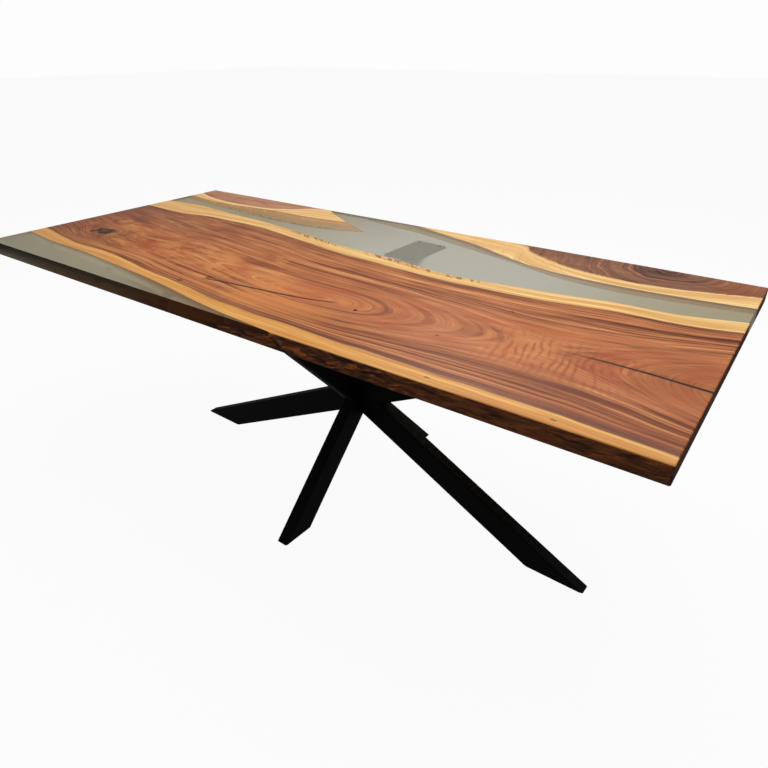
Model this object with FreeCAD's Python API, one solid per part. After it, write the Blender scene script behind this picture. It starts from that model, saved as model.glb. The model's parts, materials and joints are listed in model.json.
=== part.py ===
import FreeCAD, Part
import math
import os

# Dining table: live-edge slabs cast flush in translucent resin, on a base of two crossed steel frames.
# Millimetres, +Z up. The origin is on the floor, below the middle of the table top.
# +X runs along the table and -Y is the front, the side with the resin corner on its left.

Vector = FreeCAD.Vector
UP = Vector(0, 0, 1)

# Table top
top_length = 2200.0
top_width = 980.0
top_thickness = 42.0
table_height = 760.0
arris_width = 2.5
overrun = 10.0

# Live edges, as (share of the length, share of the width) from the front left corner.
# Each edge has one line on the top face and one on the underside, and both run out past the blank.
central_front_top_shares = [
    (-0.030, 0.150), (0.005, 0.142), (0.080, 0.121), (0.170, 0.113), (0.268, 0.092), (0.351, 0.073),
    (0.417, 0.050), (0.474, 0.029), (0.523, 0.015), (0.580, 0.005), (0.640, -0.012),
]
central_front_under_shares = [
    (-0.030, 0.135), (0.005, 0.125), (0.080, 0.101), (0.170, 0.088), (0.268, 0.062), (0.340, 0.038),
    (0.400, 0.018), (0.450, 0.002), (0.500, -0.008), (0.570, -0.014), (0.640, -0.020),
]
central_back_top_shares = [
    (1.030, 0.716), (0.984, 0.690), (0.930, 0.657), (0.866, 0.649), (0.808, 0.628), (0.757, 0.614),
    (0.715, 0.600), (0.678, 0.593), (0.640, 0.595), (0.600, 0.609), (0.560, 0.622), (0.510, 0.631),
    (0.460, 0.641), (0.412, 0.661), (0.336, 0.693), (0.255, 0.720), (0.182, 0.733), (0.130, 0.749),
    (0.078, 0.758), (0.010, 0.750), (-0.030, 0.746),
]
central_back_under_shares = [
    (1.030, 0.734), (0.984, 0.706), (0.930, 0.675), (0.866, 0.662), (0.808, 0.644), (0.757, 0.626),
    (0.715, 0.611), (0.678, 0.605), (0.640, 0.610), (0.600, 0.622), (0.560, 0.634), (0.510, 0.644),
    (0.460, 0.657), (0.412, 0.676), (0.336, 0.707), (0.255, 0.732), (0.182, 0.748), (0.130, 0.763),
    (0.078, 0.770), (0.010, 0.764), (-0.030, 0.760),
]
back_left_near_top_shares = [
    (-0.030, 0.884), (0.033, 0.856), (0.085, 0.842), (0.135, 0.846), (0.190, 0.861), (0.262, 0.866),
    (0.330, 0.872), (0.383, 0.888),
]
back_left_near_under_shares = [
    (-0.030, 0.860), (0.045, 0.824), (0.100, 0.811), (0.152, 0.804), (0.220, 0.788), (0.300, 0.784),
    (0.370, 0.798), (0.432, 0.848),
]
back_left_far_top_shares = [(0.383, 0.888), (0.347, 0.936), (0.310, 0.990), (0.286, 1.030)]
back_left_far_under_shares = [(0.432, 0.848), (0.385, 0.900), (0.336, 0.970), (0.300, 1.030)]
back_right_top_shares = [
    (0.450, 1.035), (0.502, 0.998), (0.547, 0.959), (0.590, 0.931), (0.634, 0.897), (0.680, 0.849),
    (0.734, 0.802), (0.787, 0.780), (0.856, 0.779), (0.920, 0.788), (0.971, 0.802), (1.030, 0.822),
]
back_right_under_shares = [
    (0.330, 1.035), (0.385, 0.998), (0.440, 0.971), (0.505, 0.949), (0.560, 0.917), (0.615, 0.883),
    (0.690, 0.836), (0.770, 0.777), (0.840, 0.762), (0.910, 0.774), (0.963, 0.791), (1.030, 0.814),
]
slab_overrun_share = 0.030

# Cracks and a knot in the central slab, poured full of resin.
heart_crack_shares = [
    (0.402, 0.158), (0.430, 0.172), (0.480, 0.186), (0.533, 0.200), (0.570, 0.214), (0.607, 0.234),
]
heart_crack_width_shares = [0.0, 0.9, 1.0, 0.8, 0.5, 0.0]
heart_crack_width = 4.0
heart_crack_depth = 14.0
end_crack_shares = [
    (0.868, 0.297), (0.905, 0.299), (0.945, 0.297), (0.980, 0.291), (1.020, 0.285),
]
end_crack_width_shares = [0.0, 0.4, 0.7, 1.0, 1.1]
end_crack_width = 7.0
end_crack_depth = 34.0
pin_knot_place_share = (0.634, 0.223)
pin_knot_radius = 5.5
pin_knot_depth = 18.0

# Base: a long frame along X and a short frame along Y, crossing at the hub
hub_height = 354.7
long_foot_distance = 720.5
short_foot_distance = 333.5
base_offset_x = 113.6
base_offset_y = -35.0
base_turn_degrees = -2.0
tube_depth = 80.0
tube_width = 40.0
tube_wall = 3.0
tube_corner_radius = 6.0

# Feet
foot_plate_thickness = 4.0
glide_radius = 16.0
glide_thickness = 4.0

# Mounting plates and what fastens them
mounting_plate_length = 200.0
mounting_plate_width = 120.0
mounting_plate_thickness = 6.0
mounting_plate_corner_width = 12.0
mounting_plate_lip_length = 4.0
screw_edge_distance = 20.0
screw_shank_radius = 4.0
screw_hole_clearance = 0.5
screw_pilot_clearance = 0.05
screw_pilot_relief_length = 2.0
screw_grip_length = 28.0
screw_head_width = 13.0
screw_head_height = 5.5

# Worked-out heights and slopes
underside = table_height - top_thickness
foot_end = glide_thickness
arm_end = underside - mounting_plate_thickness
long_slope = hub_height / long_foot_distance
short_slope = hub_height / short_foot_distance

# Direction of each quarter of the base about +Z, and the slope of its tubes
quarters = {
    "right": (0, long_slope),
    "back": (90, short_slope),
    "left": (180, long_slope),
    "front": (270, short_slope),
}


def at_share(share, height):
    """The point at a (length, width) share of the table top."""
    x, y = share
    return Vector((x - 0.5) * top_length, (y - 0.5) * top_width, height)


def on_base(shape, quarter=0):
    """Turns a shape to its quarter and places it with the whole base."""
    placed = shape.copy()
    placed.rotate(Vector(0, 0, 0), UP, quarter + base_turn_degrees)
    placed.translate(Vector(base_offset_x, base_offset_y, 0))
    return placed


def save(name, solids):
    """Writes one node: a solid, or a group of separate solids."""
    shape = solids[0] if len(solids) == 1 else Part.makeCompound(solids)
    shape.exportStep(os.path.join("parts", name + ".step"))
    volume = sum(solid.Volume for solid in solids)
    print(name, len(solids), "solid", round(volume), "mm3", "valid" if shape.isValid() else "INVALID")


def live_edge(shares, height):
    """A smooth grown edge through points given as shares of the top."""
    curve = Part.BSplineCurve()
    curve.interpolate([at_share(share, height) for share in shares])
    return curve.toShape()


def outline(stretches, height):
    """A closed wire through live edges and single corners, joined by straight sides."""
    edges = []
    start = at_share(stretches[0][0], height)
    end = start
    for shares in stretches + [stretches[0][:1]]:
        first = at_share(shares[0], height)
        if (first - end).Length > arris_width / 100:
            edges.append(Part.LineSegment(end, first).toShape())
        if len(shares) > 1:
            edges.append(live_edge(shares, height))
        end = at_share(shares[-1], height)
    return Part.Wire(edges)


def sloped(here_shares, there_shares, reach):
    """Shares carried on past one face along the slope of the edge."""
    pairs = zip(here_shares, there_shares)
    return [(x + (x - u) * reach, y + (y - v) * reach) for (x, y), (u, v) in pairs]


def cast_slab(blank, under_lines, top_lines):
    """A slab whose live edges slant from the underside to the top face, flush with the blank."""
    reach = overrun / top_thickness
    below = [sloped(under, top, reach) for under, top in zip(under_lines, top_lines)]
    above = [sloped(top, under, reach) for under, top in zip(under_lines, top_lines)]
    wires = [outline(below, underside - overrun), outline(above, table_height + overrun)]
    return Part.makeLoft(wires, True, True).common(blank).Solids[0]


def top_blank():
    """The whole flat casting, with its corners and arrises eased."""
    corner = Vector(-top_length / 2, -top_width / 2, underside)
    block = Part.makeBox(top_length, top_width, top_thickness, corner)
    return block.makeChamfer(arris_width, block.Edges).Solids[0]


def crack_fill(blank, path_shares, width_shares, width, depth):
    """A thin wedge of resin along a crack, flush with the top face."""
    path = [at_share(share, table_height) for share in path_shares]
    near = []
    far = []
    for i, point in enumerate(path):
        along = path[min(i + 1, len(path) - 1)] - path[max(i - 1, 0)]
        across = UP.cross(along).normalize() * (width * width_shares[i] / 2)
        near.append(point - across)
        far.append(point + across)
    rim = near + far[::-1]
    corners = [rim[0]]
    for point in rim[1:]:
        if (point - corners[-1]).Length > width / 100:
            corners.append(point)
    if (corners[-1] - corners[0]).Length > width / 100:
        corners.append(corners[0])
    else:
        corners[-1] = corners[0]
    fill = Part.Face(Part.makePolygon(corners)).extrude(UP * -depth)
    return fill.common(blank).Solids[0]


def knot_fill():
    """A round plug of resin in the pin knot."""
    place = at_share(pin_knot_place_share, table_height - pin_knot_depth)
    return Part.makeCylinder(pin_knot_radius, pin_knot_depth, place)


def rounded_rectangle(length, width, radius):
    """A flat face centred on the origin, with round corners."""
    block = Part.makeBox(length, width, radius, Vector(-length / 2, -width / 2, 0))
    upright = [edge for edge in block.Edges if edge.BoundBox.ZLength > radius / 2]
    rounded = block.makeFillet(radius, upright)
    return [face for face in rounded.Faces if face.BoundBox.ZMax < radius / 2][0]


def tube_section():
    """The outline of the tube: depth along X and width along Y."""
    return rounded_rectangle(tube_depth, tube_width, tube_corner_radius)


def bore_section():
    """The outline of the tube's bore."""
    length = tube_depth - 2 * tube_wall
    width = tube_width - 2 * tube_wall
    return Part.makePlane(length, width, Vector(-length / 2, -width / 2, 0))


def sloping_bar(section, slope, length):
    """A bar with this section that rises from the hub along +X, and reaches as far behind it."""
    bar = section.extrude(UP * 2 * length)
    bar.translate(UP * -length)
    bar.rotate(Vector(0, 0, 0), Vector(0, 1, 0), 90 - math.degrees(math.atan(slope)))
    bar.translate(UP * hub_height)
    return bar


def reach_past(slope, height):
    """A distance from the hub that a tube has passed this height by, for long enough blanks."""
    return abs(height - hub_height) / slope + tube_depth / slope + tube_depth


def sloping_tube(slope, end_height):
    """A tube from the hub to the floor or the top, cut level at its end and mitred at the hub."""
    rise = abs(end_height - hub_height)
    side = -1 if end_height < hub_height else 1
    reach = reach_past(slope, end_height)
    outer = sloping_bar(tube_section(), slope * side, 2 * reach)
    bore = sloping_bar(bore_section(), slope * side, 2 * reach)
    corner = Vector(tube_width / 2, -tube_width, min(end_height, hub_height))
    keep = Part.makeBox(reach, 2 * tube_width, rise, corner)
    return outer.common(keep).cut(bore).Solids[0]


def hub_core():
    """The solid crossing of the two frames, which the eight tubes are welded to."""
    bars = []
    for quarter, slope in quarters.values():
        bar = sloping_bar(tube_section(), slope, tube_depth * 2)
        bar.rotate(Vector(0, 0, 0), UP, quarter)
        bars.append(bar)
    corner = Vector(-tube_width / 2, -tube_width / 2, hub_height - tube_depth * 2)
    column = Part.makeBox(tube_width, tube_width, tube_depth * 4, corner)
    pieces = [bar.common(column) for bar in bars]
    return pieces[0].fuse(pieces[1:]).removeSplitter().Solids[0]


def end_reach(slope, end_height):
    """How far out the tube's centreline is at a height, and half of its level cut."""
    centre = abs(end_height - hub_height) / slope
    half_cut = tube_depth / 2 / math.sin(math.atan(slope))
    return centre, half_cut


def foot_plate(slope):
    """The plate that closes a leg's mouth, flush with its level cut."""
    reach = reach_past(slope, foot_end)
    plug = sloping_bar(bore_section(), -slope, 2 * reach)
    keep = Part.makeBox(reach, tube_width, foot_plate_thickness, Vector(tube_width / 2, -tube_width / 2, foot_end))
    return plug.common(keep).Solids[0]


def floor_glide(slope):
    """The round pad under a foot plate."""
    centre = end_reach(slope, foot_end)[0]
    return Part.makeCylinder(glide_radius, glide_thickness, Vector(centre, 0, 0))


def mounting_plate_centre(slope):
    centre, half_cut = end_reach(slope, arm_end)
    return centre + half_cut + mounting_plate_lip_length - mounting_plate_length / 2


def screw_places(slope):
    """The four screw centres of one plate, before it is turned to its quarter."""
    middle = mounting_plate_centre(slope)
    reach = mounting_plate_length / 2 - screw_edge_distance
    side = mounting_plate_width / 2 - screw_edge_distance
    return [Vector(middle + i * reach, j * side, 0) for i in (-1, 1) for j in (-1, 1)]


def mounting_plate(slope):
    """The plate on an arm's upper end, with cut corners and a clearance hole at each screw."""
    length = mounting_plate_length
    width = mounting_plate_width
    thickness = mounting_plate_thickness
    corner = Vector(mounting_plate_centre(slope) - length / 2, -width / 2, arm_end)
    plate = Part.makeBox(length, width, thickness, corner)
    upright = [edge for edge in plate.Edges if edge.BoundBox.ZLength > thickness / 2]
    plate = plate.makeChamfer(mounting_plate_corner_width, upright)
    radius = screw_shank_radius + screw_hole_clearance
    depth = thickness + 2 * overrun
    places = [place + UP * (arm_end - overrun) for place in screw_places(slope)]
    return plate.cut([Part.makeCylinder(radius, depth, place) for place in places])


def screw():
    """A hex-head coach screw, its head down, with z = 0 where the head meets the plate."""
    shank = Part.makeCylinder(screw_shank_radius, mounting_plate_thickness + screw_grip_length)
    radius = screw_head_width / 2 / math.cos(math.pi / 6)
    angles = [k * math.pi / 3 for k in range(6)]
    points = [Vector(radius * math.cos(a), radius * math.sin(a), 0) for a in angles]
    head = Part.Face(Part.makePolygon(points + points[:1])).extrude(UP * -screw_head_height)
    return shank.fuse(head).removeSplitter().Solids[0]


def pilot_bore():
    """What is drilled out of the top for one screw."""
    radius = screw_shank_radius + screw_pilot_clearance
    depth = screw_grip_length + screw_pilot_relief_length
    return Part.makeCylinder(radius, overrun + depth, UP * -overrun)


def at_every_screw(shape, height):
    """Copies of a shape at all the screws of the base, at one height."""
    copies = []
    for quarter, slope in quarters.values():
        for place in screw_places(slope):
            copy = shape.copy()
            copy.translate(place + UP * height)
            copies.append(on_base(copy, quarter))
    return copies


def make_top():
    """The slabs, the fills in their cracks and the resin round them."""
    blank = top_blank()
    bores = at_every_screw(pilot_bore(), underside)
    beyond = 1 + slab_overrun_share
    front_right_corner = [(beyond, -slab_overrun_share)]
    back_right_corner = [(beyond, beyond)]
    back_left_corner = [(-slab_overrun_share, beyond)]
    slabs = {
        "central_slab": cast_slab(
            blank,
            [central_front_under_shares, front_right_corner, central_back_under_shares],
            [central_front_top_shares, front_right_corner, central_back_top_shares],
        ),
        "back_left_slab": cast_slab(
            blank,
            [back_left_near_under_shares, back_left_far_under_shares, back_left_corner],
            [back_left_near_top_shares, back_left_far_top_shares, back_left_corner],
        ),
        "back_right_slab": cast_slab(
            blank,
            [back_right_corner, back_right_under_shares[::-1]],
            [back_right_corner, back_right_top_shares[::-1]],
        ),
    }
    resin = blank.cut(list(slabs.values()))
    pours = sorted(resin.Solids, key=lambda solid: solid.CenterOfMass.y)
    print("resin solids", [round(solid.Volume) for solid in pours])
    fills = {
        "heart_crack_fill": crack_fill(
            blank, heart_crack_shares, heart_crack_width_shares, heart_crack_width, heart_crack_depth
        ),
        "end_crack_fill": crack_fill(
            blank, end_crack_shares, end_crack_width_shares, end_crack_width, end_crack_depth
        ),
        "pin_knot_fill": knot_fill(),
    }
    slabs["central_slab"] = slabs["central_slab"].cut(list(fills.values()))
    for name, slab in slabs.items():
        save(name, slab.cut(bores).Solids)
    save("corner_resin", pours[0].cut(bores).Solids)
    save("river_resin", pours[-1].cut(bores).Solids)
    for name, fill in fills.items():
        save(name, [fill])


def make_base():
    """The hub, the tubes, plates and glides of each quarter, and the group of screws."""
    save("hub_core", [on_base(hub_core())])
    for side, (quarter, slope) in quarters.items():
        save(side + "_leg", [on_base(sloping_tube(slope, foot_end), quarter)])
        save(side + "_arm", [on_base(sloping_tube(slope, arm_end), quarter)])
        save(side + "_foot_plate", [on_base(foot_plate(slope), quarter)])
        save(side + "_floor_glide", [on_base(floor_glide(slope), quarter)])
        save(side + "_mounting_plate", on_base(mounting_plate(slope), quarter).Solids)
    save("mounting_screws", at_every_screw(screw(), arm_end))


os.makedirs("parts", exist_ok=True)
make_top()
make_base()
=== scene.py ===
import json
import math

import bpy
from mathutils import Matrix, Vector

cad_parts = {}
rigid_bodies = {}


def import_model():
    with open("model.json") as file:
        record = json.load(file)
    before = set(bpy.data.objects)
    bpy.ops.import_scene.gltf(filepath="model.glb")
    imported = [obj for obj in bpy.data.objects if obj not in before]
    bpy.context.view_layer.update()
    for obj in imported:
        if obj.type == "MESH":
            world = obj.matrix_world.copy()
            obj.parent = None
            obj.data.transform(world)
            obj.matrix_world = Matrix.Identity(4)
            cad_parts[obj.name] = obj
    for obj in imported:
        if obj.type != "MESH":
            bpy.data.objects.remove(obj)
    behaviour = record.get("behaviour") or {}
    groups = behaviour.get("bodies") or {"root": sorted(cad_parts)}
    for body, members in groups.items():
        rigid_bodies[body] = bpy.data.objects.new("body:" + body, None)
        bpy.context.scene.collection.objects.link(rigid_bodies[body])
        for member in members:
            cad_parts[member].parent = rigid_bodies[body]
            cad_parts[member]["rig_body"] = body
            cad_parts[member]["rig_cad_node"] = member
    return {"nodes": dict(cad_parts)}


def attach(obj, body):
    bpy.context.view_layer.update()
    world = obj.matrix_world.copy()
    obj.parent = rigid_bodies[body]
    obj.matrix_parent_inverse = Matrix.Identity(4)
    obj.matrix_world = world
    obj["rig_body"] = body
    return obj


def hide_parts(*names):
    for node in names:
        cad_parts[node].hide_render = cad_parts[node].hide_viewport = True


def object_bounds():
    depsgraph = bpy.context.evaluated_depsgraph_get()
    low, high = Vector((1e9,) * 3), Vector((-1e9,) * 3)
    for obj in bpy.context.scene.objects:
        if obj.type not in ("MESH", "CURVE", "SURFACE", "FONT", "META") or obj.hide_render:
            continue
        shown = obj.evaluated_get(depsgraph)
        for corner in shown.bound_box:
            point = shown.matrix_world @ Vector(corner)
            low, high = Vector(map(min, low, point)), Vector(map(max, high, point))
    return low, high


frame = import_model()
CAD_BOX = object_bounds()

# Sizes in metres, read from the table's own pieces
TABLE_LENGTH, TABLE_WIDTH, TABLE_HEIGHT = (high - low for low, high in zip(*CAD_BOX))
SLAB_LEVELS = [corner[2] for corner in frame["nodes"]["central_slab"].bound_box]
TOP_THICKNESS = max(SLAB_LEVELS) - min(SLAB_LEVELS)
UNDERSIDE = TABLE_HEIGHT - TOP_THICKNESS
FRONT_PLANE = -0.5 * TABLE_WIDTH
BACK_PLANE = 0.5 * TABLE_WIDTH
END_PLANE = 0.5 * TABLE_LENGTH

# The eased arris round the top, and how near its plane a sawn or sanded face begins and ends
ARRIS = 0.0025
ON_FACE = 0.0004
OFF_FACE = 0.0012
OFF_BASE = 0.0010
LOWER_ARRIS_REACH = 0.0030
WALL_FADE = (0.0015, 0.006)

# How much the figure shifts across the width per metre of depth, so that it runs on down the sides
FIGURE_LEAN = 0.35

# How far a pour reaches into the wood round it, and how its two flat faces are levelled again
POUR_REACH = 0.0004
MERGE_DISTANCE = 0.00001
LEVEL_BAND = 0.001
FACE_SINK = 0.00005
BASE_LIFT = 0.0002
INNER_MARGIN = ARRIS + 0.0006
OUTER_MARGIN = ARRIS + 0.0001

# How bright the room is as light, to the camera, and in gloss
ROOM_LIGHT = 0.32
WHITE_SEEN = 0.98
GLOSS_SEEN = 0.12
FLOOR_GLOW_SHARE = 0.94
FLOOR_SIZE = 60.0
FLOOR_DROP = 0.0005
WHITE = (1.0, 1.0, 1.0, 1.0)

# The photo's frame in pixels, and the camera worked out from the edges of the top and the feet
PHOTO_PIXELS = 768.0
FOCAL_PIXELS = 623.0
CENTRE_PIXELS = (385.52, 385.11)
SENSOR_WIDTH = 36.0
CAMERA_PLACE = (1.1949, -1.3906, 1.3392)
CAMERA_PITCH, CAMERA_YAW, CAMERA_ROLL = 0.5038, 0.6259, -0.0044

# Heart lines, live edges, grain flow, cracks and knots, as (share of length, share of width)
CENTRE_FRONT_HEART = [
    (0.0, 0.205), (0.05, 0.185), (0.10, 0.168), (0.15, 0.159), (0.20, 0.154), (0.25, 0.142), (0.32, 0.118),
    (0.40, 0.092), (0.47, 0.074), (0.53, 0.062), (0.60, 0.056), (0.70, 0.052), (0.80, 0.046), (0.90, 0.041),
    (0.96, 0.036), (1.0, 0.030),
]
CENTRE_BACK_HEART = [
    (0.0, 0.640), (0.05, 0.632), (0.10, 0.627), (0.15, 0.645), (0.20, 0.656), (0.28, 0.655), (0.33, 0.640),
    (0.40, 0.610), (0.47, 0.576), (0.54, 0.562), (0.60, 0.547), (0.66, 0.540), (0.72, 0.548), (0.78, 0.552),
    (0.83, 0.570), (0.88, 0.590), (0.94, 0.597), (1.0, 0.630),
]
CENTRE_RIVER_EDGE = [
    (0.0, 0.749), (0.08, 0.758), (0.13, 0.749), (0.18, 0.733), (0.255, 0.720), (0.336, 0.693), (0.412, 0.661),
    (0.46, 0.641), (0.51, 0.631), (0.56, 0.622), (0.60, 0.609), (0.64, 0.595), (0.678, 0.593), (0.715, 0.600),
    (0.757, 0.614), (0.808, 0.628), (0.866, 0.649), (0.93, 0.657), (1.0, 0.700),
]
CENTRE_CORNER_EDGE = [
    (0.0, 0.150), (0.05, 0.141), (0.10, 0.127), (0.15, 0.122), (0.20, 0.118), (0.25, 0.105), (0.33, 0.080),
    (0.40, 0.055), (0.47, 0.030), (0.54, 0.010), (1.0, 0.0),
]
CENTRE_DRIFT = [(0.0, 0.0), (0.12, 0.05), (0.25, 0.10), (0.50, 0.16), (0.75, 0.17), (1.0, 0.13)]
CENTRE_PITH = [
    (0.0, 0.380), (0.05, 0.335), (0.10, 0.296), (0.16, 0.300), (0.24, 0.310), (0.32, 0.300), (0.42, 0.265),
    (0.52, 0.238), (0.60, 0.238), (0.68, 0.255), (0.765, 0.272), (0.86, 0.280), (0.94, 0.290), (1.0, 0.288),
]
LEFT_HEART = [
    (0.0, 0.930), (0.05, 0.893), (0.10, 0.874), (0.15, 0.870), (0.20, 0.884), (0.24, 0.920), (0.28, 0.985),
    (0.32, 0.999), (1.0, 1.0),
]
RIGHT_HEART = [
    (0.0, 1.0), (0.67, 1.0), (0.688, 0.985), (0.70, 0.946), (0.725, 0.908), (0.75, 0.880), (0.78, 0.855),
    (0.82, 0.838), (0.86, 0.833), (0.90, 0.840), (0.94, 0.862), (0.97, 0.884), (1.0, 0.906),
]
HEART_CRACK = [
    (0.0, 0.158), (0.402, 0.158), (0.430, 0.172), (0.480, 0.186), (0.533, 0.200), (0.570, 0.214),
    (0.607, 0.234), (1.0, 0.234),
]
END_CRACK = [(0.0, 0.297), (0.868, 0.297), (0.905, 0.299), (0.945, 0.297), (0.980, 0.291), (1.0, 0.288)]
KNOT = (0.098, 0.298)
KNOT_BULGE = (0.100, 0.296)
KNOT_EYE = (0.073, 0.424)

# The innermost ring that the top shows, along its length
CENTRE_CROWN = [
    (0.0, 0.24), (0.20, 0.21), (0.38, 0.16), (0.45, 0.11), (0.50, 0.06), (0.56, 0.02), (0.60, 0.07),
    (0.64, 0.18), (0.67, 0.29), (0.72, 0.42), (0.765, 0.50), (0.83, 0.56), (0.88, 0.55), (0.935, 0.47),
    (0.97, 0.36), (1.0, 0.24),
]

# How light each growth ring is, from the pith outward; on the back slabs over three times their spread
RING_SHARE = 0.3333
CENTRE_RINGS = [
    (0.0, 0.62), (0.06, 0.78), (0.12, 0.58), (0.18, 0.74), (0.26, 0.66), (0.32, 0.50), (0.37, 0.66),
    (0.42, 0.34), (0.47, 0.60), (0.52, 0.32), (0.58, 0.60), (0.655, 0.26), (0.695, 0.52), (0.735, 0.24),
    (0.78, 0.58), (0.83, 0.30), (0.88, 0.60), (0.93, 0.44), (1.0, 0.34),
]
LEFT_RINGS = [(0.0, 0.5), (1.0, 0.5)]
RIGHT_RINGS = [
    (0.0, 0.38), (0.12, 0.32), (0.19, 0.36), (0.215, 0.24), (0.235, 0.60), (0.262, 0.36), (0.285, 0.58),
    (0.325, 0.50), (0.35, 0.38), (0.375, 0.56), (0.43, 0.50), (0.50, 0.62), (0.56, 0.54), (0.62, 0.64),
    (1.0, 0.62),
]

# Dark rings round the crown: ring, width, strength, and the left, right, low and high of their zone
CROWN_LINES = (
    (0.27, 0.030, 0.75, (0.50, 0.70, 0.11, 0.36)), (0.21, 0.018, 0.45, (0.52, 0.66, 0.14, 0.34)),
    (0.50, 0.014, 0.40, (0.70, 0.785, 0.20, 0.34)), (0.42, 0.020, 0.34, (0.66, 0.76, 0.14, 0.40)),
)

# Small scars: place as shares, and radii in metres
SCARS = (
    ((0.390, 0.113), (0.010, 0.008)), ((0.413, 0.176), (0.014, 0.010)), ((0.785, 0.024), (0.008, 0.004)),
    ((0.780, 0.440), (0.006, 0.004)), ((0.905, 0.018), (0.007, 0.003)), ((0.745, 0.210), (0.006, 0.004)),
)

# Stains along the cracks: path, left end, right end, and width as a share
CRACK_STAINS = ((HEART_CRACK, 0.398, 0.612, 0.0042), (END_CRACK, 0.872, 1.1, 0.0046))


def paint(red, green, blue):
    """A colour written as it looks on screen, 0 to 255, for a shader."""
    shades = []
    for value in (red, green, blue):
        share = value / 255
        shades.append(share / 12.92 if share <= 0.04045 else ((share + 0.055) / 1.055) ** 2.4)
    return (*shades, 1.0)


class Value:
    """A number that varies over a surface, with arithmetic."""

    def __init__(self, finish, socket):
        self.finish = finish
        self.socket = socket

    def maths(self, operation, *others, clamp=False):
        numbers = dict(enumerate((self,) + others))
        return self.finish.node("ShaderNodeMath", {"operation": operation, "use_clamp": clamp}, numbers)

    def __add__(self, other):
        return self.maths("ADD", other)

    __radd__ = __add__

    def __sub__(self, other):
        return self.maths("SUBTRACT", other)

    def __rsub__(self, other):
        return self.maths("MULTIPLY_ADD", -1.0, other)

    def __mul__(self, other):
        return self.maths("MULTIPLY", other)

    __rmul__ = __mul__

    def __truediv__(self, other):
        return self.maths("DIVIDE", other)

    def root(self):
        return self.maths("SQRT")

    def size(self):
        return self.maths("ABSOLUTE")

    def wave(self):
        return self.maths("SINE")

    def clamped(self):
        return self.maths("ADD", 0.0, clamp=True)

    def or_more(self, other):
        """The larger of the two."""
        return self.maths("MAXIMUM", other)

    def ramp(self, low, high, start, end):
        """start below low, end above high, and smooth between."""
        return self.finish.node(
            "ShaderNodeMapRange",
            {"interpolation_type": "SMOOTHSTEP"},
            {0: self, 1: low, 2: high, 3: start, 4: end},
        )

    def over(self, low, high):
        """0 below low, 1 above high, and smooth between."""
        return self.ramp(low, high, 0.0, 1.0)

    def under(self, low, high):
        """1 below low, 0 above high, and smooth between."""
        return self.ramp(low, high, 1.0, 0.0)


def distance(first, second):
    """How far a point lies from the middle, from its two offsets, with the very tip rounded off."""
    return (first * first + second * second + 0.0001).root()


class Shading:
    """A set of shader nodes, added one at a time."""

    def __init__(self, tree):
        self.tree = tree

    def node(self, kind, settings, values, output=0):
        made = self.tree.nodes.new(kind)
        for name, setting in settings.items():
            setattr(made, name, setting)
        for name, value in values.items():
            if isinstance(value, Value):
                self.tree.links.new(value.socket, made.inputs[name])
            else:
                made.inputs[name].default_value = value
        return Value(self, made.outputs[output])

    def rays(self, *kinds):
        """1 for rays of these kinds and 0 for all others."""
        path = self.node("ShaderNodeLightPath", {}, {}).socket.node.outputs
        total = Value(self, path[kinds[0]])
        for kind in kinds[1:]:
            total = total.or_more(Value(self, path[kind]))
        return total

    def place(self):
        """X, Y and Z of the surface, in metres."""
        spot = self.node("ShaderNodeTexCoord", {}, {}, "Object")
        split = self.tree.nodes.new("ShaderNodeSeparateXYZ")
        self.tree.links.new(spot.socket, split.inputs[0])
        return [Value(self, output) for output in split.outputs]

    def point(self, x, y, z=0.0):
        return self.node("ShaderNodeCombineXYZ", {}, {0: x, 1: y, 2: z})

    def scaled_place(self, scale):
        """The place of the surface, stretched by one scale in all directions."""
        return self.point(*(axis * scale for axis in self.place()))

    def noise(self, spot, detail=2.0, roughness=0.5, distortion=0.0):
        return self.node("ShaderNodeTexNoise", {}, {
            "Vector": spot, "Scale": 1.0, "Detail": detail, "Roughness": roughness, "Distortion": distortion,
        })

    def cells(self, spot):
        return self.node("ShaderNodeTexVoronoi", {}, {"Vector": spot, "Scale": 1.0})

    def line(self, along, points):
        """A smooth line through (along, height) points, each from 0 to 1."""
        made = self.node("ShaderNodeFloatCurve", {}, {"Factor": 1.0, "Value": along})
        mapping = made.socket.node.mapping
        mapping.use_clip = False
        stops = mapping.curves[0].points
        stops[0].location = points[0]
        stops[1].location = points[-1]
        for spot in points[1:-1]:
            stops.new(*spot)
        mapping.update()
        return made

    def mix(self, amount, first, second):
        """The first colour where amount is 0, and the second where it is 1."""
        return self.node("ShaderNodeMix", {"data_type": "RGBA"}, {0: amount, 6: first, 7: second}, 2)


class Finish(Shading):
    """A material on the plain surface shader."""

    def __init__(self, name, **constants):
        self.material = bpy.data.materials.new(name)
        self.material.use_nodes = True
        super().__init__(self.material.node_tree)
        self.skin = self.tree.nodes["Principled BSDF"]
        for socket, value in constants.items():
            self.skin.inputs[socket.replace("_", " ")].default_value = value

    def feed(self, socket, value):
        self.tree.links.new(value.socket, self.skin.inputs[socket])

    def bump(self, height, depth, strength):
        relief = {"Strength": strength, "Distance": depth, "Height": height}
        self.feed("Normal", self.node("ShaderNodeBump", {}, relief))


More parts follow.
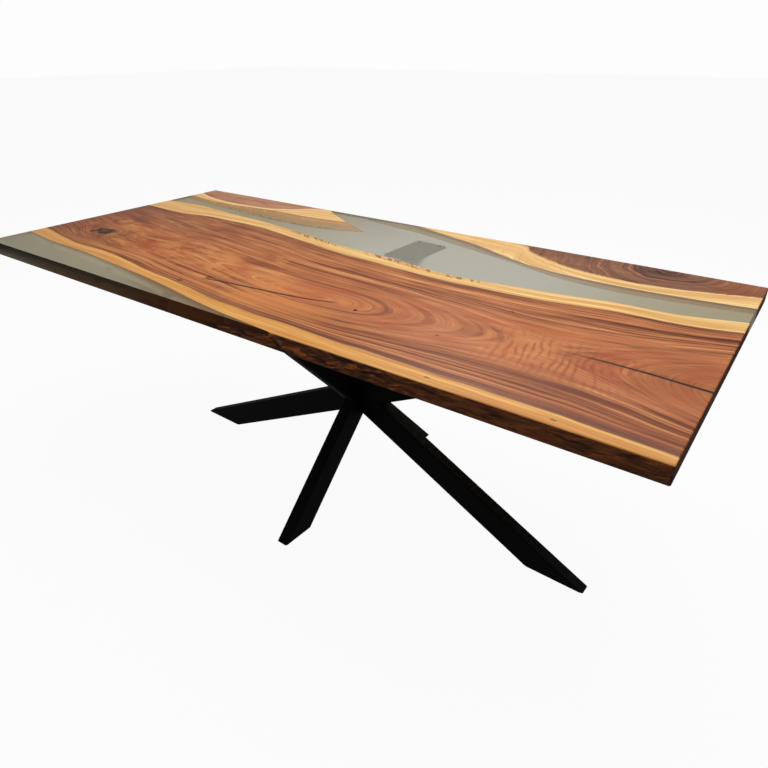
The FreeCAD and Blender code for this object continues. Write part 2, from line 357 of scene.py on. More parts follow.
class Board:
    """The table top as a shader sees it: shares along and across it, and the depth below its face."""

    def __init__(self, finish):
        self.finish = finish
        self.x, self.y, z = finish.place()
        self.depth = TABLE_HEIGHT - z
        self.along = self.x / TABLE_LENGTH + 0.5
        self.across = self.y / TABLE_WIDTH + 0.5 + self.depth * FIGURE_LEAN
        # Below the top arris a face reaches further in, so that the lower arris belongs to it
        reach = self.depth.over(ARRIS, ARRIS + 0.001) * LOWER_ARRIS_REACH
        self.front_face = (self.y - reach).under(FRONT_PLANE + ON_FACE, FRONT_PLANE + OFF_FACE)
        self.back_face = (self.y + reach).over(BACK_PLANE - OFF_FACE, BACK_PLANE - ON_FACE)
        self.end_face = (self.x.size() + reach).over(END_PLANE - OFF_FACE, END_PLANE - ON_FACE)
        self.sawn_side = self.front_face.or_more(self.back_face).or_more(self.end_face)
        underside = self.depth.over(TOP_THICKNESS - OFF_BASE, TOP_THICKNESS - ON_FACE)
        self.grown_wall = self.depth.over(*WALL_FADE) * (1.0 - self.sawn_side.or_more(underside))

    def from_place(self, place, radii):
        """Distance from a (length, width) share, in units of the two radii in metres."""
        return distance(
            (self.x - (place[0] - 0.5) * TABLE_LENGTH) / radii[0],
            (self.y - (place[1] - 0.5) * TABLE_WIDTH) / radii[1],
        )

    def zone(self, left, right, low, high, soft_x, soft_y):
        """1 inside a rectangle of shares, fading out round it."""
        past_left = self.along.over(left - soft_x, left + soft_x)
        before_right = self.along.under(right - soft_x, right + soft_x)
        past_low = self.across.over(low - soft_y, low + soft_y)
        before_high = self.across.under(high - soft_y, high + soft_y)
        return past_left * before_right * (past_low * before_high)


class Timber(Board):
    """A lacquered slab of the top."""

    def __init__(self, name):
        # The emission glows only on the grown walls under the resin, as painted light
        super().__init__(Finish(name, IOR=1.45, Specular_IOR_Level=0.32, Emission_Strength=0.60))

    def fibre(self, rings):
        """Fine long fibres and short pores that run with the rings."""
        noise, point = self.finish.noise, self.finish.point
        fine = noise(point(self.x * 6.0, rings * 80.0, self.y * 4.0 + self.depth * 60.0), 3.0, 0.6)
        pores = noise(point(self.x * 70.0, rings * 420.0, self.y * 9.0 + self.depth * 60.0), 1.0, 0.5)
        return fine, pores.over(0.60, 0.74)

    def sapwood(self, beside, fine, honey, cream):
        """Honey wood with streaks that follow its heart line; beside is the distance from that line."""
        wood = self.finish
        streaks = wood.noise(wood.point(self.x * 1.5, beside * 44.0, self.depth * 20.0), 3.0, 0.62)
        silk = wood.noise(wood.point(self.x * 2.6, beside * 150.0, 3.0), 2.0, 0.6)
        colour = wood.mix((streaks + (silk - 0.5) * 0.5).over(0.30, 0.72), honey, cream)
        return wood.mix((fine - 0.5).size().over(0.04, 0.20) * 0.22, colour, paint(170, 112, 60))

    def paint_wall_veil_and_glow(self, colour, dark, light, base):
        """Gives the grown side under the resin its own mottled colour near the top, fading deeper down into a
        pale painted veil of light scattered in the resin, and makes it glow as painted light for what comes
        in through the pour.
        """
        wood = self.finish
        bark = wood.noise(wood.point(self.x * 22.0, self.y * 22.0, self.depth * 60.0), 3.0, 0.6)
        # Deeper down the wall fades into the pale base colour, a painted veil of light scattered in the resin
        veiled_wall_colour = wood.mix(self.depth.over(0.001, 0.026), wood.mix(bark.over(0.35, 0.65), dark, light), base)
        # The wall's colour also glows, painted light for what comes in through the pour
        wood.feed("Emission Color", wood.mix(self.grown_wall, paint(0, 0, 0), veiled_wall_colour))
        return wood.mix(self.grown_wall, colour, veiled_wall_colour)

    def lacquer(self, colour, fine, pores):
        """Puts the colour under a satin lacquer, dull on the sawn sides, and gives back the material."""
        wood = self.finish
        wood.feed("Base Color", colour)
        wood.feed("Roughness", 0.32 + pores * 0.10 + (fine - 0.5) * 0.12 + self.sawn_side * 0.30)
        wood.bump(fine * 0.4 - pores, 0.00012, 0.35)
        return wood.material


def heart_line(beside, fine):
    """The ragged line between heart and sap, below 0 in the heart and above it in the sap."""
    return beside * 60.0 + (fine - 0.5) * 1.2


class CentralTimber(Timber):
    """The wide slab: its rings round the pith, and the noise and zones that its features share."""

    def __init__(self):
        super().__init__("central_slab_wood")
        wood, x, y, along = self.finish, self.x, self.y, self.along
        self.level = self.across + (wood.noise(wood.point(x * 3.2, y * 7.0), 2.0) - 0.5) * 0.026
        self.front = wood.line(along, CENTRE_FRONT_HEART)
        self.back = wood.line(along, CENTRE_BACK_HEART)
        self.pith = wood.line(along, CENTRE_PITH)
        bulge = self.from_place(KNOT_BULGE, (0.060, 0.046)).under(0.3, 2.6) * 0.040
        above = (self.level - self.pith - bulge).or_more(0.0) / (self.back - self.pith)
        below = (self.pith - self.level - bulge).or_more(0.0) / (self.pith - self.front)
        self.out = above + below
        crown = wood.line(along, CENTRE_CROWN)
        self.rings = (self.out * self.out * (1.0 - crown * crown) + crown * crown).root()
        self.fine, self.pores = self.fibre(self.rings)
        self.tilt = self.across * 1.7 + self.depth * 20.0
        self.flow = self.across + wood.line(along, CENTRE_DRIFT)
        self.cloud = wood.noise(wood.point(x * 5.0, y * 9.0, 3.0), 3.0, 0.55, 0.4)
        self.drift = wood.noise(wood.point(x * 2.8, self.flow * 38.0, 8.0), 4.0, 0.66, 0.15)
        self.front_right = self.zone(0.58, 1.2, 0.02, 0.16, 0.08, 0.04)
        self.calm = self.zone(0.67, 1.3, 0.18, 0.44, 0.04, 0.06)
        self.mottled = along.under(0.18, 0.48) * self.across.over(0.17, 0.27)
        crowned = self.zone(0.50, 0.74, 0.10, 0.40, 0.05, 0.05)
        self.ringed = (1.0 - self.calm * 0.74) * (1.0 - self.mottled * 0.62) * (1.0 - crowned * 0.32)


def heart_ground(slab):
    """The heart's own colour, from its dark rings to its light ones."""
    wood, x, along, rings = slab.finish, slab.x, slab.along, slab.rings
    front_right, ringed, tilt = slab.front_right, slab.ringed, slab.tilt
    broad = wood.noise(wood.point(x * 0.9, rings * 8.0, tilt), 2.0, 0.55)
    streaks = wood.noise(wood.point(x * 1.3, rings * 28.0, tilt * 1.3), 3.0, 0.65)
    hair = wood.noise(wood.point(x * 3.2, rings * 95.0, tilt * 2.0), 2.0, 0.6)
    tone = wood.line(rings.clamped(), CENTRE_RINGS)
    strength = 0.52 + along.over(0.25, 0.60) * 0.18 + front_right * 1.30
    strength = strength * (0.45 + slab.out.over(0.15, 0.60) * 0.55) * ringed
    light = (
        0.49 + (tone - 0.50) * strength * 0.75
        + (broad - 0.5) * ringed * 0.8
        + (streaks - 0.5) * strength * 1.9
        + (hair - 0.5) * (1.0 - front_right * 0.6) * ringed * 1.3
        + (slab.drift - 0.5) * (0.50 + slab.mottled * 0.90 + slab.calm * 0.20)
        + (slab.cloud - 0.5) * (0.25 + slab.mottled * 0.65 + slab.calm * 0.25)
        + (slab.fine - 0.5) * (0.9 - front_right * 0.4)
    )
    heart = wood.mix(light.over(0.0, 0.60), paint(92, 45, 28), paint(190, 116, 70))
    return wood.mix(light.over(0.55, 1.0), heart, paint(228, 162, 98))


def golden_figure(slab, heart):
    """Golden pools and clouds, with rusty patches among them."""
    wood, x, along, across, cloud = slab.finish, slab.x, slab.along, slab.across, slab.cloud
    pool = slab.zone(0.43, 0.63, 0.10, 0.30, 0.07, 0.05)
    heart = wood.mix(pool * cloud.over(0.30, 0.62) * 0.62, heart, paint(216, 138, 74))
    rust = wood.noise(wood.point(x * 4.0, slab.flow * 11.0, 16.0), 3.0, 0.6, 0.3)
    rusty = slab.mottled * rust.over(0.50, 0.60) * across.under(0.36, 0.52)
    heart = wood.mix(rusty * 0.62, heart, paint(164, 76, 42))
    golden = wood.noise(wood.point(x * 7.0, slab.flow * 15.0, 21.0), 4.0, 0.66, 0.6)
    gilded = golden.over(0.50, 0.62) * slab.zone(0.13, 0.46, 0.20, 0.46, 0.05, 0.05)
    heart = wood.mix(gilded * 0.66, heart, paint(216, 146, 80))
    ruddy = golden.under(0.38, 0.46) * slab.zone(0.20, 0.44, 0.20, 0.42, 0.05, 0.05)
    heart = wood.mix(ruddy * 0.45, heart, paint(150, 72, 38))
    beyond_pith = slab.level - slab.pith
    glow = cloud.over(0.42, 0.62) * (beyond_pith - 0.045).size().under(0.0, 0.075) * along.under(0.42, 0.60)
    heart = wood.mix(glow * 0.68, heart, paint(214, 140, 80))
    ember = wood.noise(wood.point(x * 4.0, slab.rings * 15.0, 9.0), 2.0).over(0.50, 0.62)
    return wood.mix(ember * slab.out.under(0.25, 0.6) * 0.45, heart, paint(172, 82, 46))


def dusky_figure(slab, heart):
    """The dusky back left of the heart, its left end, and the dark lines in its front left corner."""
    wood = slab.finish
    dusk = slab.along.under(0.05, 0.60) * slab.across.over(0.24, 0.56)
    heart = wood.mix(dusk * (0.44 + (0.5 - slab.drift) * 1.2).clamped(), heart, paint(108, 72, 66))
    heart = wood.mix(slab.zone(-0.2, 0.06, 0.2, 0.7, 0.06, 0.1) * 0.35, heart, paint(96, 62, 52))
    lines = wood.noise(wood.point(slab.x * 2.0, slab.rings * 34.0, 11.0), 2.0, 0.6).over(0.44, 0.58)
    corner = slab.zone(-0.2, 0.15, 0.16, 0.33, 0.05, 0.04)
    heart = wood.mix(corner * lines * 0.75, heart, paint(78, 46, 38))
    return wood.mix(corner * (1.0 - lines) * 0.30, heart, paint(196, 132, 84))


def dark_veins(slab, heart):
    """Veins that run with the rings, and the sharper rings round the crown."""
    wood, x, y, rings = slab.finish, slab.x, slab.y, slab.rings
    vein_noise = wood.noise(wood.point(x * 0.8, rings * 15.0, slab.tilt), 1.0, 0.5)
    veins = (vein_noise - 0.5).size().under(0.004, 0.030)
    veined = slab.out.over(0.25, 0.60) * (0.20 + slab.along.over(0.30, 0.60) * 0.60) * slab.ringed
    heart = wood.mix(veins * veined * (0.40 + slab.front_right * 0.45), heart, paint(88, 46, 34))
    wobble = (wood.noise(wood.point(x * 9.0, y * 9.0, 14.0), 2.0) - 0.5) * 0.05
    for ring, width, share, zone in CROWN_LINES:
        line = (rings - ring + wobble).size().under(0.002, width) * slab.zone(*zone, 0.03, 0.03)
        heart = wood.mix(line * share, heart, paint(128, 66, 42))
    return heart


def curl_marks(slab, heart):
    """Short marks across the grain before the end crack, on a lighter ground."""
    wood, x, y = slab.finish, slab.x, slab.y
    wander = wood.noise(wood.point(x * 9.0, y * 6.0, 5.0), 2.0)
    curl = ((x * 330.0 + y * 70.0 + wander * 26.0).wave() * 0.5 + 0.5).over(0.30, 1.0)
    broken = wood.noise(wood.point(x * 17.0, y * 13.0), 2.0, 0.6).over(0.36, 0.58)
    zone = slab.zone(0.800, 0.935, 0.17, 0.34, 0.03, 0.05)
    heart = wood.mix(slab.cloud.over(0.42, 0.60) * zone * 0.35, heart, paint(214, 138, 78))
    return wood.mix(curl * broken * zone * 0.62, heart, paint(152, 66, 34))


def central_heart(slab):
    """Red-brown heart with dark veins, a golden crown and a dusky, mottled back left part."""
    wood = slab.finish
    heart = heart_ground(slab)
    heart = golden_figure(slab, heart)
    heart = dusky_figure(slab, heart)
    heart = dark_veins(slab, heart)
    heart = wood.mix(slab.front_right * 0.38, heart, paint(142, 70, 28))
    heart = curl_marks(slab, heart)
    heart = wood.mix(slab.zone(0.94, 1.2, 0.19, 0.40, 0.02, 0.06) * 0.38, heart, paint(136, 68, 30))
    return wood.mix(slab.pores * 0.35, heart, paint(84, 46, 32))


def central_sap(slab, ahead, beside):
    """The sapwood of both edges, with dashes of bark along the river."""
    wood, along, fine = slab.finish, slab.along, slab.fine
    sap_back = slab.sapwood(beside, fine, paint(212, 154, 84), paint(252, 218, 148))
    sap_front = slab.sapwood(beside, fine, paint(200, 130, 58), paint(238, 182, 100))
    sap = wood.mix(ahead.over(-0.01, 0.01), sap_back, sap_front)
    sap = wood.mix(along.under(0.05, 0.40) * 0.45, sap, paint(214, 156, 98))
    rim = wood.line(along, CENTRE_RIVER_EDGE) - slab.across
    runs = along.over(0.33, 0.37) * along.under(0.44, 0.47) + along.over(0.50, 0.53) * along.under(0.69, 0.72)
    dashes = wood.noise(wood.point(slab.x * 85.0 + slab.y * 62.0, slab.y * 30.0, 1.0), 2.0, 0.7)
    bark = dashes.over(0.47, 0.57) * rim.over(-0.002, 0.002) * rim.under(0.013, 0.026) * runs
    return wood.mix(bark * 0.80, sap, paint(138, 62, 34))


def knot_marks(board, colour, rough):
    """The knot with curled grain round it, and the eye beside it."""
    wood = board.finish
    torn = wood.noise(wood.point(board.x * 20.0, board.y * 34.0, 7.0), 3.0, 0.6, 0.6)
    knot_far = board.from_place(KNOT, (0.050, 0.030)) + (torn - 0.5) * 2.4
    curls = ((board.from_place(KNOT, (0.050, 0.034)) + torn * 1.4) * 9.0).wave().over(-0.2, 0.9)
    colour = wood.mix(curls * knot_far.under(1.4, 3.4) * 0.45, colour, paint(74, 46, 38))
    halo = knot_far.under(1.2, 2.4) * rough.over(0.42, 0.62)
    colour = wood.mix(halo * 0.50, colour, paint(200, 130, 78))
    colour = wood.mix(knot_far.under(0.55, 1.25) * 0.88, colour, paint(52, 38, 32))
    colour = wood.mix(knot_far.under(0.05, 0.45) * 0.40, colour, paint(122, 92, 74))
    eye_far = board.from_place(KNOT_EYE, (0.040, 0.034)) + (rough - 0.5) * 0.9
    colour = wood.mix(eye_far.under(0.2, 0.9) * 0.55, colour, paint(190, 124, 76))
    return wood.mix((eye_far - 1.05).size().under(0.05, 0.35) * 0.40, colour, paint(78, 48, 40))


def scars_and_stains(board, colour, rough):
    """Small dark scars, and the stain along the two cracks."""
    wood = board.finish
    for place, radii in SCARS:
        scar = board.from_place(place, radii) + (rough - 0.5) * 1.2
        colour = wood.mix(scar.under(0.5, 1.3) * 0.70, colour, paint(74, 42, 32))
    for path, left, right, width in CRACK_STAINS:
        aside = (board.across - wood.line(board.along, path)).size()
        run = board.along.over(left, left + 0.03) * board.along.under(right - 0.02, right)
        colour = wood.mix(aside.under(width * 0.5, width * 1.6) * run * 0.72, colour, paint(58, 38, 30))
    return colour


def central_sides(board, colour):
    """The sawn front face, its own orange-brown darkened to about half as painted shade, with bark left in
    its middle, and the darker end grain.
    """
    wood, x, depth = board.finish, board.x, board.depth
    figure = wood.noise(wood.point(x * 16.0 + depth * 90.0, depth * 110.0 - x * 8.0, 2.0), 4.0, 0.68, 0.3)
    # The front face's colours are darkened to about half, painted shade over the wood's own orange-brown
    front = wood.mix(figure.over(0.32, 0.68), paint(52, 20, 0), paint(118, 60, 2))
    barked = board.along.over(0.38, 0.46) * board.along.under(0.72, 0.82)
    blotch = wood.noise(wood.point(x * 13.0 - depth * 16.0, depth * 46.0 - x * 5.0, 4.0), 3.0, 0.6, 0.5)
    front = wood.mix(blotch.over(0.46, 0.58) * barked * 0.85, front, paint(18, 8, 3))
    amber = wood.noise(wood.point(x * 20.0 + depth * 24.0, depth * 84.0 + x * 11.0, 8.0), 3.0, 0.66, 0.6)
    front = wood.mix(amber.over(0.52, 0.64) * (0.30 + barked * 0.45), front, paint(172, 88, 14))
    speck = wood.noise(wood.point(x * 260.0, depth * 420.0, 6.0), 1.0).over(0.62, 0.72)
    front = wood.mix(speck * 0.55, front, paint(40, 20, 8))
    colour = wood.mix(board.front_face, colour, front)
    rays = wood.noise(wood.point(board.y * 60.0, depth * 240.0, 1.0), 3.0, 0.6)
    grain = wood.mix(rays.over(0.35, 0.65), paint(44, 20, 10), paint(84, 42, 20))
    return wood.mix(board.end_face, colour, grain)


def central_slab_wood():
    """The wide slab: heart with a crown figure, and honey sapwood along both edges."""
    slab = CentralTimber()
    wood, fine = slab.finish, slab.fine
    heart = central_heart(slab)
    ahead = slab.front - slab.level
    beside = (slab.level - slab.back).or_more(ahead)
    sap = central_sap(slab, ahead, beside)
    border = heart_line(beside, fine)
    is_sap = border.over(-0.15, 0.35)
    shade = border.size().under(0.0, 0.9) * (1.0 - is_sap)
    heart = wood.mix(shade * 0.35, heart, paint(88, 50, 38))
    ragged = (0.35 + (fine - 0.5) * 1.6).clamped()
    dark_rim = ahead.over(-0.034, -0.006) * slab.along.over(0.36, 0.46) * ragged
    heart = wood.mix(dark_rim, heart, paint(94, 60, 52))
    rough = wood.noise(wood.point(slab.x * 42.0, slab.y * 42.0), 3.0, 0.6)
    colour = knot_marks(slab, wood.mix(is_sap, heart, sap), rough)
    colour = scars_and_stains(slab, colour, rough)
    colour = central_sides(slab, colour)
    # The grown wall under the resin gets a painted veil of light and a painted glow
    colour = slab.paint_wall_veil_and_glow(colour, paint(130, 88, 50), paint(164, 124, 78), paint(204, 192, 164))
    return slab.lacquer(colour, fine, slab.pores)


def back_slab_wood(
    name, heart_edge, centre, spread, ring_tones, closeness, contrast, heart_tones, wall_and_veil_tones
):
    """A slab along the back edge: heart inside its line, honey sapwood along the river."""
    slab = Timber(name)
    wood, x, y, depth = slab.finish, slab.x, slab.y, slab.depth
    wander = wood.noise(wood.point(x * 6.0, y * 8.0, 2.0), 2.0) * 0.40
    rings = distance((slab.along - centre[0]) / spread[0], (slab.across - centre[1]) / spread[1]) + wander
    streaks = wood.noise(wood.point(x * 1.2, rings * closeness, 4.0 + depth * 20.0), 3.0, 0.65)
    tone = wood.line((rings * RING_SHARE).clamped(), ring_tones)
    cloud = wood.noise(wood.point(x * 5.0, y * 16.0, 6.0), 3.0, 0.6, 0.5)
    fine, pores = slab.fibre(rings * 0.45)
    shade = tone + (streaks - 0.5) * contrast + (cloud - 0.5) * contrast * 0.8 + (fine - 0.5)
    dark, mid, light = heart_tones
    heart = wood.mix(shade.over(0.05, 0.60), dark, mid)
    heart = wood.mix(shade.over(0.55, 1.0), heart, light)
    heart = wood.mix(slab.along.over(0.92, 0.97) * 0.42, heart, paint(160, 90, 50))
    heart = wood.mix(pores * 0.30, heart, dark)
    beside = wood.line(slab.along, heart_edge) - slab.across
    sap = slab.sapwood(beside, fine, paint(214, 158, 92), paint(252, 218, 154))
    colour = wood.mix(heart_line(beside, fine).over(-0.15, 0.35), heart, sap)
    edge_grain = wood.noise(wood.point(x * 3.0, depth * 190.0, y * 60.0), 3.0, 0.6)
    sawn = wood.mix(edge_grain.over(0.3, 0.7), paint(56, 28, 14), paint(104, 60, 30))
    colour = wood.mix(slab.back_face.or_more(slab.end_face), colour, sawn)
    # The grown wall under the resin gets a painted veil of light and a painted glow
    return slab.lacquer(slab.paint_wall_veil_and_glow(colour, *wall_and_veil_tones), fine, pores)


def resin_drift(board):
    """A slow wander of the resin's colour."""
    resin = board.finish
    return resin.noise(resin.point(board.x * 2.2, board.y * 3.4, 1.0), 2.0, 0.5) - 0.5


def poured_resin(name, roughness, bend, clearness, glow, clear, ends, edge_shade=None, edge_line=None):
    """Smoky resin, browner at the ends of the pour, with a painted brown shade along the wood's edge where an
    edge line is given; the glow stands for light scattered in it.
    """
    resin = Finish(
        name, Roughness=roughness, Transmission_Weight=clearness, IOR=bend, Specular_IOR_Level=0.4,
        Emission_Strength=glow,
    )
    board = Board(resin)
    end_near = (board.along - 0.62).size() + resin_drift(board) * 0.12
    colour = resin.mix(end_near.over(0.06, 0.40), clear, ends)
    if edge_line:
        beside = resin.line(board.along, edge_line) - board.across
        # A painted brown shade in the resin beside the wood's edge
        colour = resin.mix(beside.size().under(0.0, 0.034) * 0.80, colour, edge_shade)
    resin.feed("Base Color", colour)
    resin.feed("Emission Color", colour)
    return resin.material


def sawn_resin(name, shaded_upper, floor_lit_lower, glow):
    """The sawn sides of a pour: looked into edge on, it is dark under the top and amber over the wood; the
    dark top is painted shade, the lighter bottom painted light from the floor, and the glow painted light.
    """
    resin = Finish(
        name, Roughness=0.18, Transmission_Weight=0.12, IOR=1.5, Specular_IOR_Level=0.12,
        Emission_Strength=glow,
    )
    board = Board(resin)
    deep = (board.depth + resin_drift(board) * 0.010).over(0.006, 0.038)
    # Painted shade under the top, painted light from the floor lower down
    colour = resin.mix(deep, shaded_upper, floor_lit_lower)
    # The same colour glows as painted light
    resin.feed("Emission Color", colour)
    # The brown where wood shows through is also painted darker under the top, as painted shade
    brown = resin.mix(deep, paint(44, 32, 16), paint(90, 66, 36))
    colour = resin.mix(board.front_face * board.along.over(0.03, 0.24), colour, brown)
    colour = resin.mix(board.front_face * board.along.over(0.30, 0.44), colour, paint(70, 30, 1))
    resin.feed("Base Color", colour)
    return resin.material


def crack_resin():
    """Dark, murky resin in the cracks and the pin knot."""
    resin = Finish("crack_fill_resin", Roughness=0.22, IOR=1.5, Specular_IOR_Level=0.3)
    x, y, _ = resin.place()
    murk = resin.noise(resin.point(x * 60.0, y * 60.0), 2.0)
    resin.feed("Base Color", resin.mix(murk, paint(34, 28, 24), paint(60, 52, 44)))
    return resin.material


def powder_coat(name, roughness):
    """Fine black powder coat with a slight orange peel."""
    coat = Finish(name, IOR=1.4, Specular_IOR_Level=0.2)
    peel = coat.noise(coat.scaled_place(900.0), 2.0, 0.55)
    patches = coat.noise(coat.scaled_place(18.0), 2.0)
    coat.feed("Base Color", coat.mix(patches, paint(4, 4, 4), paint(8, 8, 8)))
    coat.feed("Roughness", roughness + (patches - 0.5) * 0.10 + (peel - 0.5) * 0.10)
    coat.bump(peel, 0.0001, 0.30)
    return coat.material


def zinc_plate():
    """Zinc-plated steel with a faint spangle."""
    zinc = Finish("screw_zinc", Metallic=1.0)
    spangle = zinc.cells(zinc.scaled_place(700.0))
    zinc.feed("Base Color", zinc.mix(spangle, paint(150, 150, 148), paint(190, 190, 188)))
    zinc.feed("Roughness", 0.42 + spangle * 0.18)
    return zinc.material


def glide_plastic():
    """Dark moulded plastic with a fine grain."""
    pad = Finish("floor_glide_plastic")
    grain = pad.noise(pad.scaled_place(1400.0), 2.0)
    pad.feed("Base Color", pad.mix(grain, paint(24, 24, 24), paint(38, 38, 38)))
    pad.feed("Roughness", 0.60 + grain * 0.15)
    pad.bump(grain, 0.0001, 0.25)
    return pad.material


def wear(node, material):
    """Gives a carried-over piece its finish."""
    slots = frame["nodes"][node].data.materials
    slots.clear()
    slots.append(material)


def loose_copy(node, name):
    """A copy of a carried-over piece that can be remodelled, active and selected."""
    bpy.ops.object.select_all(action="DESELECT")
    source = frame["nodes"][node]
    block = source.copy()
    block.data = source.data.copy()
    block.name = name
    block.data.name = name
    block.parent = None
    bpy.context.scene.collection.objects.link(block)
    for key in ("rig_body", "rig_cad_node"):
        if key in block:
            del block[key]
    block.select_set(True)
    bpy.context.view_layer.objects.active = block
    return block


def select_where(mesh, chosen):
    """Goes through object mode to select, in edit mode, the vertices whose place is chosen."""
    bpy.ops.mesh.select_all(action="DESELECT")
    bpy.ops.object.mode_set(mode="OBJECT")
    for vertex in mesh.vertices:
        vertex.select = chosen(vertex.co)
    bpy.ops.object.mode_set(mode="EDIT")


def side_margin(place):
    """How far a place lies inside the nearest of the top's four side planes."""
    return min(END_PLANE - abs(place.x), BACK_PLANE - abs(place.y))


def resin_block(node, name, faces, base, sides):
    """A pour that reaches a hair into the wood round it, so that wood shows through it as if bonded."""
    block = loose_copy(node, name)
    mesh = block.data
    bpy.context.tool_settings.mesh_select_mode = (True, False, False)
    bpy.ops.object.mode_set(mode="EDIT")
    bpy.ops.mesh.select_all(action="SELECT")
    bpy.ops.mesh.remove_doubles(threshold=MERGE_DISTANCE)
    select_where(mesh, lambda place: side_margin(place) > INNER_MARGIN)
    bpy.ops.transform.shrink_fatten(value=POUR_REACH)
    select_where(mesh, lambda place: place.z > TABLE_HEIGHT - LEVEL_BAND)
    bpy.ops.transform.resize(value=(1.0, 1.0, 0.0), center_override=(0.0, 0.0, TABLE_HEIGHT - FACE_SINK))
    select_where(mesh, lambda place: place.z < UNDERSIDE + LEVEL_BAND)
    bpy.ops.transform.resize(value=(1.0, 1.0, 0.0), center_override=(0.0, 0.0, UNDERSIDE + BASE_LIFT))
    bpy.ops.mesh.select_all(action="DESELECT")
    bpy.ops.object.mode_set(mode="OBJECT")
    mesh.materials.clear()
    for material in (faces, base, sides):
        mesh.materials.append(material)
    for polygon in mesh.polygons:
        side_slot = 2 if side_margin(polygon.center) < OUTER_MARGIN else 0
        polygon.material_index = 1 if polygon.normal.z < -0.95 else side_slot
    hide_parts(node)
    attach(block, "root")


def finish_slabs():
    """The three slabs of wood."""
    wear("central_slab", central_slab_wood())
    wear("back_left_slab", back_slab_wood(
        "back_left_slab_wood", LEFT_HEART, centre=(0.13, 1.22), spread=(0.16, 0.22),
        ring_tones=LEFT_RINGS, closeness=9.0, contrast=1.2,
        heart_tones=(paint(136, 90, 66), paint(184, 130, 100), paint(208, 156, 118)),
        wall_and_veil_tones=(paint(211, 151, 80), paint(237, 175, 101), paint(186, 149, 104)),
    ))
    wear("back_right_slab", back_slab_wood(
        "back_right_slab_wood", RIGHT_HEART, centre=(0.887, 1.0), spread=(0.100, 0.205),
        ring_tones=RIGHT_RINGS, closeness=14.0, contrast=1.05,
        heart_tones=(paint(64, 42, 36), paint(134, 90, 68), paint(184, 122, 84)),
        wall_and_veil_tones=(paint(92, 56, 30), paint(128, 84, 50), paint(166, 144, 116)),
    ))


def finish_pours():
    """The two resin pours, polished above, sanded below and sawn at the sides, and the small fills."""
    resin_block(
        "river_resin", "river_pour",
        faces=poured_resin(
            "river_resin_polished", roughness=0.12, bend=1.5, clearness=0.80, glow=0.0,
            clear=paint(211, 209, 195), ends=paint(190, 179, 150),
        ),
        base=poured_resin(
            "river_resin_sanded", roughness=0.50, bend=1.2, clearness=0.80, glow=0.60,
            clear=paint(146, 144, 135), ends=paint(132, 125, 104),
        ),
        sides=sawn_resin("river_resin_sawn", paint(104, 101, 86), paint(138, 133, 114), glow=0.25),
    )
    # The corner pour's tones, with a painted brown shade along the wood's edge
    corner_tones = {
        "clear": paint(140, 122, 96), "ends": paint(172, 165, 139),
        "edge_shade": paint(138, 104, 70), "edge_line": CENTRE_CORNER_EDGE,
    }
    resin_block(
        "corner_resin", "corner_pour",
        faces=poured_resin(
            "corner_resin_polished", roughness=0.12, bend=1.5, clearness=0.34, glow=0.0, **corner_tones
        ),
        base=poured_resin(
            "corner_resin_sanded", roughness=0.50, bend=1.2, clearness=0.30, glow=0.0, **corner_tones
        ),
        sides=sawn_resin("corner_resin_sawn", paint(34, 31, 20), paint(120, 111, 86), glow=0.0),
    )
    fills = crack_resin()
    for node in ("heart_crack_fill", "end_crack_fill", "pin_knot_fill"):
        wear(node, fills)


def finish_base():
    """The steel base, its screws and its floor glides."""
    tube_coat = powder_coat("tube_powder_coat", 0.46)
    plate_coat = powder_coat("plate_powder_coat", 0.55)
    pad = glide_plastic()
    wear("hub_core", tube_coat)
    for side in ("right", "back", "left", "front"):
        wear(side + "_leg", tube_coat)
        wear(side + "_arm", tube_coat)
        wear(side + "_foot_plate", plate_coat)
        wear(side + "_mounting_plate", plate_coat)
        wear(side + "_floor_glide", pad)
    wear("mounting_screws", zinc_plate())


def pale_floor():
    """A pale floor that keeps the table's shadow and looks white to the camera."""
    bpy.ops.mesh.primitive_plane_add(size=FLOOR_SIZE, location=(0.0, 0.0, -FLOOR_DROP))
    floor = bpy.context.object
    floor.name = "studio_floor"
    floor.data.transform(floor.matrix_world)
    floor.matrix_world = Matrix.Identity(4)
    paper = Finish(
        "studio_floor_paper", Base_Color=paint(228, 228, 228), Roughness=0.9, Specular_IOR_Level=0.0
    )
    gloss = paper.rays("Is Glossy Ray") * (1.0 - paper.rays("Is Camera Ray", "Is Transmission Ray"))
    level = 1.0 + gloss * (GLOSS_SEEN - 1.0)
    glow = paper.node("ShaderNodeEmission", {}, {"Color": WHITE, "Strength": level})
    seen = paper.rays("Is Camera Ray", "Is Glossy Ray", "Is Transmission Ray") * FLOOR_GLOW_SHARE
    join = paper.node("ShaderNodeMixShader", {}, {0: seen, 1: Value(paper, paper.skin.outputs[0]), 2: glow})
    paper.tree.links.new(join.socket, paper.tree.nodes["Material Output"].inputs["Surface"])
    floor.data.materials.append(paper.material)


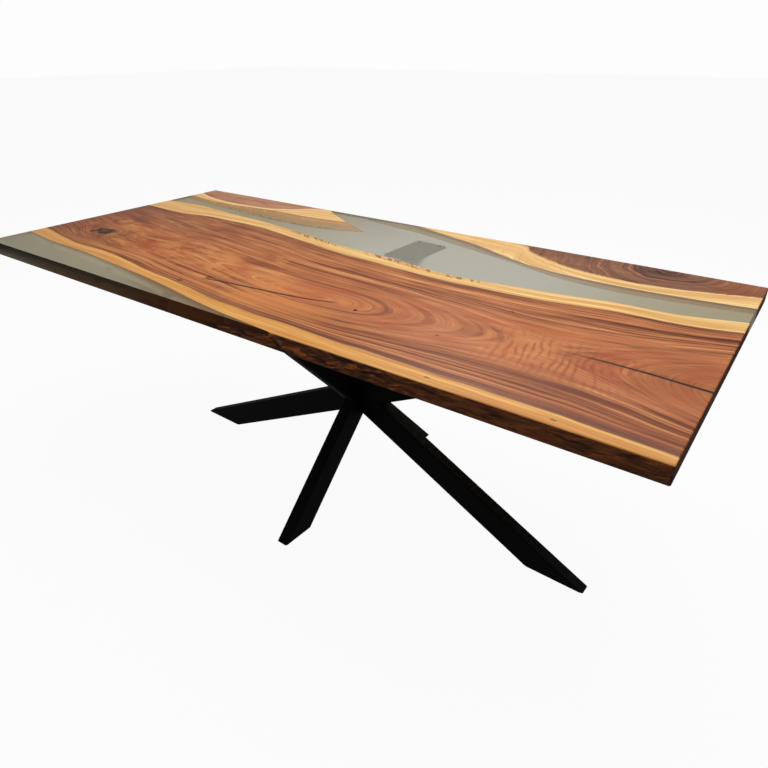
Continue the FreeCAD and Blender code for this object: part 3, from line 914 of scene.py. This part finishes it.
def white_room():
    """Even light all round that looks white to the camera and through clear resin, and dimmer in gloss."""
    world = bpy.data.worlds.new("studio_room")
    bpy.context.scene.world = world
    world.use_nodes = True
    room = Shading(world.node_tree)
    seen = room.rays("Is Camera Ray", "Is Transmission Ray")
    gloss = room.rays("Is Glossy Ray") * (1.0 - seen)
    level = seen * (WHITE_SEEN - ROOM_LIGHT) + gloss * (GLOSS_SEEN - ROOM_LIGHT) + ROOM_LIGHT
    air = room.node("ShaderNodeBackground", {}, {"Color": WHITE, "Strength": level})
    room.tree.links.new(air.socket, room.tree.nodes["World Output"].inputs["Surface"])


def soft_lamp(name, place, aim, width, height, power):
    """A rectangular lamp that hangs at a place and shines at its aim."""
    lamp = bpy.data.lights.new(name, "AREA")
    lamp.shape = "RECTANGLE"
    lamp.size = width
    lamp.size_y = height
    lamp.energy = power
    carrier = bpy.data.objects.new(name, lamp)
    carrier.location = place
    carrier.rotation_euler = (Vector(aim) - Vector(place)).to_track_quat("-Z", "Y").to_euler()
    bpy.context.scene.collection.objects.link(carrier)


def photo_camera():
    """The camera from which the object was seen, in the photo's square frame."""
    flat, drop = math.cos(CAMERA_PITCH), math.sin(CAMERA_PITCH)
    level = Vector((math.cos(CAMERA_YAW), math.sin(CAMERA_YAW), 0.0))
    ahead = Vector((-math.sin(CAMERA_YAW) * flat, math.cos(CAMERA_YAW) * flat, -drop))
    upright = level.cross(ahead)
    right = math.cos(CAMERA_ROLL) * level + math.sin(CAMERA_ROLL) * upright
    up = -math.sin(CAMERA_ROLL) * level + math.cos(CAMERA_ROLL) * upright
    lens = bpy.data.cameras.new("photo_camera")
    lens.sensor_fit = "HORIZONTAL"
    lens.sensor_width = SENSOR_WIDTH
    lens.lens = SENSOR_WIDTH * FOCAL_PIXELS / PHOTO_PIXELS
    lens.shift_x = (0.5 * PHOTO_PIXELS - CENTRE_PIXELS[0]) / PHOTO_PIXELS
    lens.shift_y = (CENTRE_PIXELS[1] - 0.5 * PHOTO_PIXELS) / PHOTO_PIXELS
    lens.clip_start = 0.05
    camera = bpy.data.objects.new("photo_camera", lens)
    turned = Matrix((right, up, -ahead)).transposed().to_4x4()
    camera.matrix_world = Matrix.Translation(CAMERA_PLACE) @ turned
    bpy.context.scene.collection.objects.link(camera)
    bpy.context.scene.camera = camera


finish_slabs()
finish_pours()
finish_base()
pale_floor()
white_room()
soft_lamp("overhead_softbox", place=(0.2, 0.7, 3.2), aim=(0.0, 0.0, 0.7), width=4.4, height=3.6, power=105.0)
photo_camera()
bpy.context.scene.view_settings.view_transform = "Standard"
